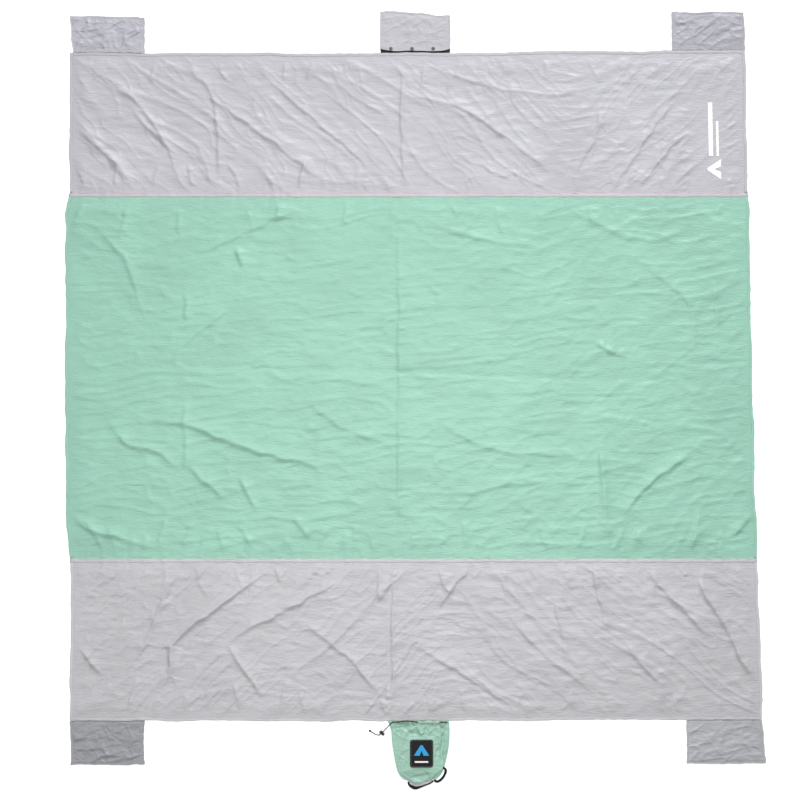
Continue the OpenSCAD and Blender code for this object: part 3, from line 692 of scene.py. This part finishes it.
def pocket(name, seed, material, tweak, mouth, rise, low_mouth=0.004,
           settle=None, back_material=None):
    """A flat pocket: lower layer, upper layer, side folds between them, and stitches.

    tweak moves a point of the cut to where it lies; mouth gives the upper layer's open edge; rise is
    the height of the wrinkles; low_mouth is how far in the mouth lies low; settle may change the
    upper layer's height; back_material is for a lower layer of another cloth."""
    low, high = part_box(name + "_back")
    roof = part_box(name + "_front")[1].z
    step = 1 if low.y > 0 else -1
    near, far = (low.y, high.y) if step > 0 else (high.y, low.y)
    middle, half = (low.x + high.x) / 2, (high.x - low.x) / 2
    length = abs(far - near)

    def upper(u, v):
        """A point of the upper layer: u from -1 to 1 across, v from 0 at the mouth to 1."""
        x = middle + half * u
        start = near + step * mouth(u)
        y = start + (far - start) * v
        from_mouth = np.abs(y - near)
        inset = np.minimum(half * (1 - np.abs(u)), np.abs(far - y))
        edge_z = 0.0026 + 0.0006 * noise(x / 0.012, y / 0.012, seed + 20)
        puff = (roof - 0.0024 - edge_z) * smooth(inset / 0.03) * smooth(from_mouth / low_mouth + 0.05)
        dip = 0.0011 * np.exp(-((inset - STITCH_INSET) / 0.0022) ** 2)
        room = smooth(inset / 0.018) * (0.25 + 0.75 * smooth(from_mouth / 0.035))
        z = edge_z + puff - dip + room * (pocket_wrinkles(x, y, seed, rise) - 0.4 * rise)
        z = np.minimum(z, roof + 0.0002 + 0.05 * from_mouth)
        if settle is not None:
            z = settle(x, y, z)
        laid_x, laid_y = tweak(*lay(x, y), u, v)
        ragged_x = 0.0011 * noise(y / 0.012, u * 2, seed + 21) * np.abs(u) ** 6
        ragged_y = 0.0011 * noise(x / 0.013, v * 2, seed + 22) * v ** 6
        return laid_x + ragged_x, laid_y + ragged_y, np.maximum(z, UPPER_LEAST)

    def lower(u, v):
        x, y = middle + half * 0.985 * u, near + (far - near) * 0.985 * v
        laid_x, laid_y = tweak(*lay(x, y), u, v)
        return laid_x, laid_y, LOWER_Z + 0.0002 * noise(x / 0.03, y / 0.03, seed + 30)

    u, v = np.meshgrid(np.linspace(-1, 1, 85), np.linspace(0, 1, 46))
    front = cloth(name + "_upper_layer", *upper(u, v), u * half, v * length, material)
    finish_piece(front, name + "_front")
    back = cloth(name + "_lower_layer", *lower(u, v), u * half, v * length, back_material or material)
    finish_piece(back, name + "_back")
    border = open_border(np.linspace(0, 1, 40), np.linspace(-1, 1, 80))
    side_folds = side_wall(name + "_side_folds", border, lower, upper, [0, 0.2, 0.5, 0.8, 1], 0.005,
                           material)
    finish_piece(side_folds, name + "_seams")

    u_in, v_in = 1 - STITCH_INSET / half, 1 - STITCH_INSET / length
    path = evenly([(-u_in, 0.03), (-u_in, v_in), (u_in, v_in), (u_in, 0.03)], 0.02)
    line = np.stack(upper(path[:, 0], path[:, 1]), -1) + [0, 0, 0.0001]
    thread = stitches(name + "_stitches", [line], name + "_thread")

    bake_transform(back)
    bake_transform(side_folds)
    for piece in (front, thread):
        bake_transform(piece)


def slanted_in(x, y, u, v):
    return x + np.clip(-u, 0, 1) * 0.011 * (1 - v), y + 0.003 * np.clip(-u, 0, 1) ** 4 * v


def waisted(x, y, u, v):
    return x - u * 0.004 * np.sin(math.pi * v), y


def flared(x, y, u, v):
    return x + u * 0.004 * v ** 3, y + 0.002 * np.abs(u) * v


def longer(x, y, u, v):
    return x, y + 0.006 * v + 0.001 * np.sin(5 * u) * v


def straight_mouth(u):
    return 0.0025 + 0.0008 * np.sin(9 * u)


def sewn_mouth(u):
    return 0.0004 + 0.0008 * np.sin(23 * u)


pocket("head_left", 101, POCKET_HEAD, slanted_in, sewn_mouth, 0.0046, 0.03)
pocket("head_right", 141, POCKET_HEAD_RIGHT, longer, sewn_mouth, 0.0026, 0.03)
# The left foot pocket takes the darker grey, which is painted shade.
pocket("foot_left", 181, POCKET_FOOT_SHADED, waisted, straight_mouth, 0.0042)
pocket("foot_right", 221, POCKET_FOOT_RIGHT, flared, straight_mouth, 0.0028)

# The snap pocket: its upper layer meets the snaps, and its lip bends away at both ends.
SNAP_LOW, SNAP_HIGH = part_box("snap_caps")
SNAP_R = (SNAP_HIGH.y - SNAP_LOW.y) / 2
SNAP_X = [SNAP_LOW.x + SNAP_R, (SNAP_LOW.x + SNAP_HIGH.x) / 2, SNAP_HIGH.x - SNAP_R]
SNAP_Y = (SNAP_LOW.y + SNAP_HIGH.y) / 2
VALUABLES_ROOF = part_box("valuables_front")[1].z


def lip_curve(u):
    return 0.0042 + 0.009 * np.abs(u) ** 5


def slanted_top(x, y, u, v):
    return x, y + (0.006 - 0.008 * u + 0.0015 * np.sin(8 * u)) * v


def around_snaps(x, y, z):
    """Draws the cloth to the caps' level near each snap, with puckers round it."""
    level = VALUABLES_ROOF - 0.0003
    for i, snap_x in enumerate(SNAP_X):
        away = np.hypot(x - snap_x, y - SNAP_Y)
        turn = np.arctan2(y - SNAP_Y, x - snap_x)
        pull = np.exp(-(away / 0.012) ** 2)
        pucker = 0.0009 * np.sin(5 * turn + i) * smooth((away - 0.006) / 0.01) * np.exp(-away / 0.02)
        z = z * (1 - pull) + level * pull + pucker
    return z


pocket("valuables", 261, SNAP_POCKET, slanted_top, lip_curve, 0.0016,
       settle=around_snaps, back_material=LINING)


# ---- Stuff sack ----

SACK_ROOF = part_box("sack_front")[1].z
PATCH_LOW, PATCH_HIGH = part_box("patch")
CORD_LOW, CORD_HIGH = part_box("drawstring")
CORD_Y = (CORD_LOW.y + CORD_HIGH.y) / 2
CORD_Z = (CORD_LOW.z + CORD_HIGH.z) / 2
CORD_R = (CORD_HIGH.z - CORD_LOW.z) / 2

SACK_LEAST = 0.0040    # least height of the sack's upper layer
SACK_HALF_W = 0.09     # half the width of its flat cut

# The empty sack's outline: distance along the blanket, left side, right side.
SACK_OUTLINE = [
    (-1.0255, -0.0765, 0.1130), (-1.0400, -0.0680, 0.1145), (-1.0600, -0.0630, 0.1150),
    (-1.0870, -0.0620, 0.1145), (-1.1110, -0.0590, 0.1120), (-1.1420, -0.0535, 0.1060),
    (-1.1650, -0.0490, 0.1000), (-1.1800, -0.0450, 0.0950), (-1.1960, -0.0370, 0.0880),
    (-1.2060, -0.0270, 0.0780), (-1.2110, -0.0150, 0.0660), (-1.2135, 0.0020, 0.0480),
]
SACK_LENGTH = SACK_OUTLINE[0][0] - SACK_OUTLINE[-1][0]
SACK_FOLDS = [
    (-0.0110, 0.0050, [(-0.058, -1.052), (-0.040, -1.041), (-0.012, -1.033)]),
    (-0.0055, 0.0035, [(0.110, -1.033), (0.100, -1.042), (0.088, -1.053)]),
    (-0.0100, 0.0035, [(0.100, -1.045), (0.092, -1.075), (0.095, -1.110), (0.088, -1.165)]),
    (0.0060, 0.0040, [(0.105, -1.055), (0.103, -1.110), (0.096, -1.168)]),
    (0.0050, 0.0035, [(0.012, -1.032), (0.020, -1.050), (0.036, -1.072)]),
    (0.0045, 0.0030, [(0.044, -1.034), (0.034, -1.050), (0.036, -1.070)]),
    (-0.0040, 0.0035, [(-0.030, -1.044), (-0.006, -1.060), (0.026, -1.068)]),
    (0.0040, 0.0035, [(0.074, -1.062), (0.084, -1.082), (0.078, -1.120)]),
    (-0.0040, 0.0030, [(0.082, -1.090), (0.076, -1.118), (0.070, -1.150)]),
    (-0.0085, 0.0045, [(-0.006, -1.203), (0.026, -1.202), (0.062, -1.188)]),
]


def sack_edges(v):
    """The left and the right side of the sack at v, from 0 at the mouth to 1 at the base."""
    y, left, right = np.array(SACK_OUTLINE).T
    share = (y[0] - y) / SACK_LENGTH
    return np.interp(v, share, left), np.interp(v, share, right)


def within(value, low, high, soft):
    """1 from low to high, and 0 further than soft outside them."""
    return smooth((value - low + soft) / soft) * smooth((high + soft - value) / soft)


def sack_top(u, v):
    """A point of the upper layer: u from -1 to 1 across, v from 0 at the mouth to 1."""
    left, right = sack_edges(v)
    x = (left + right) / 2 + u * (right - left) / 2
    bow = 0.0045 * np.clip((v - 0.8) / 0.2, 0, 1) * np.cos(u * 2.2 + 0.6)
    y = SACK_OUTLINE[0][0] - SACK_LENGTH * v - bow
    crown = SACK_ROOF - 0.0004
    edge_z = 0.0045 + 0.0015 * noise(v * 9, np.sign(u), 301)
    body = 1 - np.abs(u) ** 4
    z = edge_z + (crown - edge_z) * body * smooth((1 - v) / 0.22 + 0.15)
    from_mouth = v * SACK_LENGTH
    pleats = np.sin(26 * u + 3 * noise(u * 3, v, 302)) + 0.6 * np.sin(47 * u + 1.0)
    gather = 0.0021 * pleats * np.exp(-from_mouth / 0.028) * smooth(from_mouth / 0.006)
    under_patch = (within(x, PATCH_LOW.x, PATCH_HIGH.x, 0.012)
                   * within(y, PATCH_LOW.y, PATCH_HIGH.y, 0.012))
    folds = creases(x, y, ((0.0030, 82, 0.090, 0.024, 303), (0.0022, 60, 0.070, 0.022, 305),
                           (0.0016, -35, 0.060, 0.020, 307))) - 0.0022
    folds = folds + sum(fold_height(x, y, *fold) for fold in SACK_FOLDS)
    z = z + (gather + folds * smooth(from_mouth / 0.006)) * (1 - under_patch) * body ** 0.5
    return x, y, np.maximum(z, SACK_LEAST)


def sack_bottom(u, v):
    x, y, _ = sack_top(u, v)
    inward = 0.0012
    return x - np.sign(u) * inward * np.abs(u), y + inward * v, LOWER_Z + 0 * x


def eased(low, high, count):
    """Values from low to high, -1 to 1, that lie closer together near 1 and -1."""
    return np.sin(np.linspace(low, high, count) * math.pi / 2)


u, v = np.meshgrid(eased(-1, 1, 121), eased(0, 1, 131))
sack_flat = (u * SACK_HALF_W, v * SACK_LENGTH)
sack_cloth = cloth("sack_upper_layer", *sack_top(u, v), *sack_flat, MINT_SACK)
finish_piece(sack_cloth, "sack_front")
sack_under = cloth("sack_lower_layer", *sack_bottom(u, v), *sack_flat, MINT_SACK)
finish_piece(sack_under, "sack_back")
sack_border = open_border(eased(0, 1, 120), np.linspace(-1, 1, 60))
sack_sides = side_wall("sack_side_cloth", sack_border, sack_bottom, sack_top, np.linspace(0, 1, 7), 0.002,
                       MINT_SACK, bulge=0.0012)
finish_piece(sack_sides, "sack_side_folds")
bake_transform(sack_sides)
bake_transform(sack_cloth)
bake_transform(sack_under)

# The drawstring's channel wraps the cord, and is pushed back where the cord shows.
CHANNEL_R = CORD_R + 0.0012


def bare(x):
    """1 where the cord shows along the mouth, 0 where the channel covers it."""
    left = smooth((x + 0.053) / 0.004) * smooth((0.022 - x) / 0.006)
    right = smooth((x - 0.080) / 0.006) * smooth((0.112 - x) / 0.004)
    return np.maximum(left, right)


channel_x = np.linspace(CORD_LOW.x + 0.0005, CORD_HIGH.x + 0.004, 190)
cx, ct = np.meshgrid(channel_x, np.linspace(0, 1, 16))
first_angle = math.radians(215)
last_angle = np.radians(-25 + 150 * bare(cx))
angle = first_angle + (last_angle - first_angle) * ct
swell = CHANNEL_R * (1 + 0.16 * noise(cx / 0.006, ct * 2, 311) + 0.10 * noise(cx / 0.013, ct, 312))
channel_y = CORD_Y + swell * np.cos(angle)
channel = cloth("cord_channel_cloth", cx, channel_y, CORD_Z + swell * np.sin(angle), cx, ct * 0.012,
                MINT_SACK)
finish_piece(channel, "cord_channel")
thread_x = np.linspace(CORD_LOW.x + 0.002, CORD_HIGH.x, 60)
thread_v = np.full(60, (SACK_OUTLINE[0][0] - CORD_Y + 0.0058) / SACK_LENGTH)
left, right = sack_edges(thread_v)
thread_u = 2 * (thread_x - left) / (right - left) - 1
channel_line = np.stack(sack_top(thread_u, thread_v), -1) + [0, 0, 0.0002]
channel_stitches = stitches("channel_stitches", [channel_line], "channel_thread")

cord_x = np.linspace(CORD_LOW.x, CORD_HIGH.x, 90)
arch_share = np.clip((cord_x - CORD_LOW.x) / 0.072, 0, 1)
cord_arch = 0.004 * np.sin(math.pi * arch_share) ** 2
cord_path = np.stack([cord_x, CORD_Y + cord_arch, CORD_Z + 0.0002 * np.sin(cord_x * 70)], -1)
captive_cord = tube("drawstring_in_channel", cord_path, CORD_R, CORD_R, BLACK_CORD, 12)
finish_piece(captive_cord, "drawstring")
for piece in (channel, channel_stitches, captive_cord):
    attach(piece, "sack_lip")

# The patch keeps its CAD plate; its stitches are separate ones.
PATCH_INSET = 0.003
PATCH_CORNER = 0.006
middle = (PATCH_LOW + PATCH_HIGH) / 2
wide, tall = PATCH_HIGH.x - middle.x - PATCH_INSET, PATCH_HIGH.y - middle.y - PATCH_INSET
narrow, short = wide - PATCH_CORNER, tall - PATCH_CORNER
patch_ring = curved([(-wide, -short), (-wide, 0), (-wide, short), (-narrow, tall), (narrow, tall),
                     (wide, short), (wide, 0), (wide, -short), (narrow, -tall), (-narrow, -tall),
                     (-wide, -short)], 0.004)
patch_line = np.array([(middle.x + x, middle.y + y, PATCH_HIGH.z + 0.0001) for x, y in patch_ring])
patch_stitches = stitches("patch_stitches", [patch_line], "patch_thread")
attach(patch_stitches, "sack_lip")

# The base: a grey crescent past the sack's end with black binding round it.
BASE_EDGE = [(-0.0120, -1.2150), (-0.0085, -1.2240), (0.0000, -1.2300), (0.0090, -1.2335),
             (0.0220, -1.2315), (0.0400, -1.2255), (0.0560, -1.2190), (0.0655, -1.2120)]
base_rim = curved(BASE_EDGE, 0.0015)
rows = np.linspace(0, 1, 12)[:, None]
base_inner = np.stack([np.linspace(-0.004, 0.060, len(base_rim)), np.full(len(base_rim), -1.206)], -1)
base_xy = base_inner[None] * (1 - rows[..., None]) + base_rim[None] * rows[..., None]
x, y = np.moveaxis(base_xy, -1, 0)
base_z = 0.0030 - 0.0014 * rows + 0.0005 * noise(x / 0.006, y / 0.004, 321)
base_cloth = cloth("sack_base_cloth", x, y, base_z, x, y, HEAD_GREY)
finish_piece(base_cloth, "sack_base")
binding_path = np.column_stack([base_rim, np.full(len(base_rim), 0.0020)])
tip_share = np.linspace(0, 1, len(base_rim))
binding_half = 0.0022 + 0.0030 * np.exp(-((tip_share - 0.30) / 0.22) ** 2)
binding = tube("base_binding_tape", binding_path, binding_half, 0.0015, WEBBING, 10)
finish_piece(binding, "base_binding")

# The hang loop: webbing round the right corner of the base.
LOOP_LOW, LOOP_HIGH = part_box("hang_loop")
LOOP_Z = (LOOP_LOW.z + LOOP_HIGH.z) / 2
LOOP_PATH = [(0.0945, -1.1700), (0.1005, -1.1740), (0.1035, -1.1800), (0.1010, -1.1895),
             (0.0955, -1.1990), (0.0880, -1.2075), (0.0790, -1.2130), (0.0720, -1.2120),
             (0.0690, -1.2070)]
loop_path = curved([(x, y, LOOP_Z) for x, y in LOOP_PATH], 0.0012)
hang_loop = tube("hang_loop_webbing", loop_path, 0.0038, 0.0012, WEBBING, 10)
finish_piece(hang_loop, "hang_loop")
for piece in (base_cloth, binding, hang_loop):
    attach(piece, "sack")


# ---- Free end of the drawstring ----

# From the drawstring's exit: the same points as in the CAD source, with z from the ground.
TAIL_POINTS = [
    (0, 0, 0.0157), (-0.006, 0, 0.0157), (-0.012, -0.003, 0.0156), (-0.017, -0.008, 0.0149),
    (-0.021, -0.013, 0.0126), (-0.0245, -0.017, 0.0092), (-0.027, -0.020, 0.0066),
    (-0.030, -0.023, 0.0052), (-0.045, -0.038, 0.0052), (-0.049, -0.0405, 0.0050),
    (-0.054, -0.041, 0.0044), (-0.059, -0.0395, 0.0036), (-0.065, -0.0365, 0.0028),
    (-0.071, -0.0325, 0.0025), (-0.076, -0.029, 0.0028),
]
EXIT = (CORD_LOW.x, CORD_Y, CORD_Z)
tail_path = curved([(EXIT[0] + x, EXIT[1] + y, z) for x, y, z in TAIL_POINTS], 0.001)
tail = tube("drawstring_free_end", tail_path, CORD_R, CORD_R, BLACK_CORD, 12)
finish_piece(tail, "drawstring_tail")

KNOT_LOW, KNOT_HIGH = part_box("tail_knot")
knot_middle = np.array((KNOT_LOW + KNOT_HIGH) / 2)
knot_turn = np.linspace(0, 2 * math.pi, 72, endpoint=False)
knot_scale = 0.00078
knot_path = knot_middle + knot_scale * np.stack([
    np.sin(knot_turn) + 2 * np.sin(2 * knot_turn),
    np.cos(knot_turn) - 2 * np.cos(2 * knot_turn),
    -1.4 * np.sin(3 * knot_turn)], -1)
knot = tube("tail_knot_cord", knot_path, 0.00125, 0.00125, BLACK_CORD, 10, closed=True)
finish_piece(knot, "tail_knot")
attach(knot, "sack")
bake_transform(tail)


# ---- CAD pieces that stay ----

def keep_cad(node, material, bevel):
    """A CAD piece with its own shape, a material and slightly rounded edges."""
    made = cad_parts[node]
    made.data.materials.clear()
    made.data.materials.append(material)
    rounding = made.modifiers.new("rounding", "BEVEL")
    rounding.width = bevel
    rounding.segments = 3
    rounding.limit_method = "ANGLE"
    return made


for node in ("snap_caps", "snap_sockets", "snap_studs", "snap_posts"):
    keep_cad(node, SNAP_METAL, 0.0003)
patch = keep_cad("patch", RUBBER, 0.0005)
keep_cad("patch_emblem", BLUE, 0.0002)
keep_cad("patch_bar", WHITE, 0.0001)
lock_barrel = keep_cad("lock_barrel", PLASTIC, 0.0003)
lock_button = keep_cad("lock_button", PLASTIC, 0.0003)

# The cord lock's spring is a new coil in place of the CAD spring.
SPRING_LOW, SPRING_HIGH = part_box("lock_spring")
SPRING_MIDDLE = np.array((SPRING_LOW + SPRING_HIGH) / 2)
SPRING_AXIS = np.array([1, -1, 0]) / math.sqrt(2)
SPRING_SIDE = np.array([1, 1, 0]) / math.sqrt(2)
SPRING_HALF = 0.00145  # half the coil's length
WIRE_R = 0.00025
COIL_R = (SPRING_HIGH.z - SPRING_LOW.z) / 2 - 0.0003
along = np.linspace(-1, 1, 90)
wire_turn = along * 3 * math.pi
coil = (SPRING_MIDDLE + np.outer(along * SPRING_HALF, SPRING_AXIS)
        + COIL_R * (np.outer(np.cos(wire_turn), SPRING_SIDE)
                    + np.outer(np.sin(wire_turn), [0, 0, 1])))
lock_spring = tube("lock_spring_coil", coil, WIRE_R, WIRE_R, WIRE, 8)
finish_piece(lock_spring, "lock_spring")
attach(lock_spring, "cord_lock")
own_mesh(lock_spring)


# ---- Floor, camera and light ----

def area_light(name, place, target, size, power):
    data = bpy.data.lights.new(name, "AREA")
    data.size = size
    data.energy = power
    made = bpy.data.objects.new(name, data)
    made.location = place
    direction = Vector(target) - Vector(place)
    made.rotation_euler = direction.to_track_quat("-Z", "Y").to_euler()
    bpy.context.scene.collection.objects.link(made)


FLOOR_HALF = 60
FLOOR_Z = -0.0003
WHITE_FLOOR = new_material("floor_white", {"Base Color": (0.92, 0.92, 0.92, 1), "Roughness": 0.9,
                                           "Emission Color": (1, 1, 1, 1), "Emission Strength": 0.35})[0]
corners = [(FLOOR_HALF * x, FLOOR_HALF * y, FLOOR_Z) for x, y in ((-1, -1), (1, -1), (1, 1), (-1, 1))]
make_object("floor", corners, [(0, 1, 2, 3)], WHITE_FLOOR)

VIEW_MIDDLE = (-0.037, -0.043)
VIEW_WIDTH = 2.456
CAMERA_HEIGHT = 6.0
SENSOR_WIDTH = 36
camera_data = bpy.data.cameras.new("camera")
camera_data.sensor_width = SENSOR_WIDTH
camera_data.lens = SENSOR_WIDTH * CAMERA_HEIGHT / VIEW_WIDTH
camera = bpy.data.objects.new("camera", camera_data)
camera.location = (*VIEW_MIDDLE, CAMERA_HEIGHT)
bpy.context.scene.collection.objects.link(camera)
bpy.context.scene.camera = camera

area_light("key", (2.0, 7.4, 4.8), (0, 0, 0), 2.0, 690)
area_light("fill", (-3.2, -3.0, 4.0), (0, 0, 0), 3.5, 60)
area_light("over", (0.05, -0.2, 2.2), (0.05, -0.2, 0), 1.4, 25)
world = bpy.data.worlds.new("studio")
world.use_nodes = True
background = world.node_tree.nodes["Background"]
background.inputs["Color"].default_value = (1, 1, 1, 1)
background.inputs["Strength"].default_value = 0.36
bpy.context.scene.world = world
bpy.context.scene.view_settings.view_transform = "Standard"
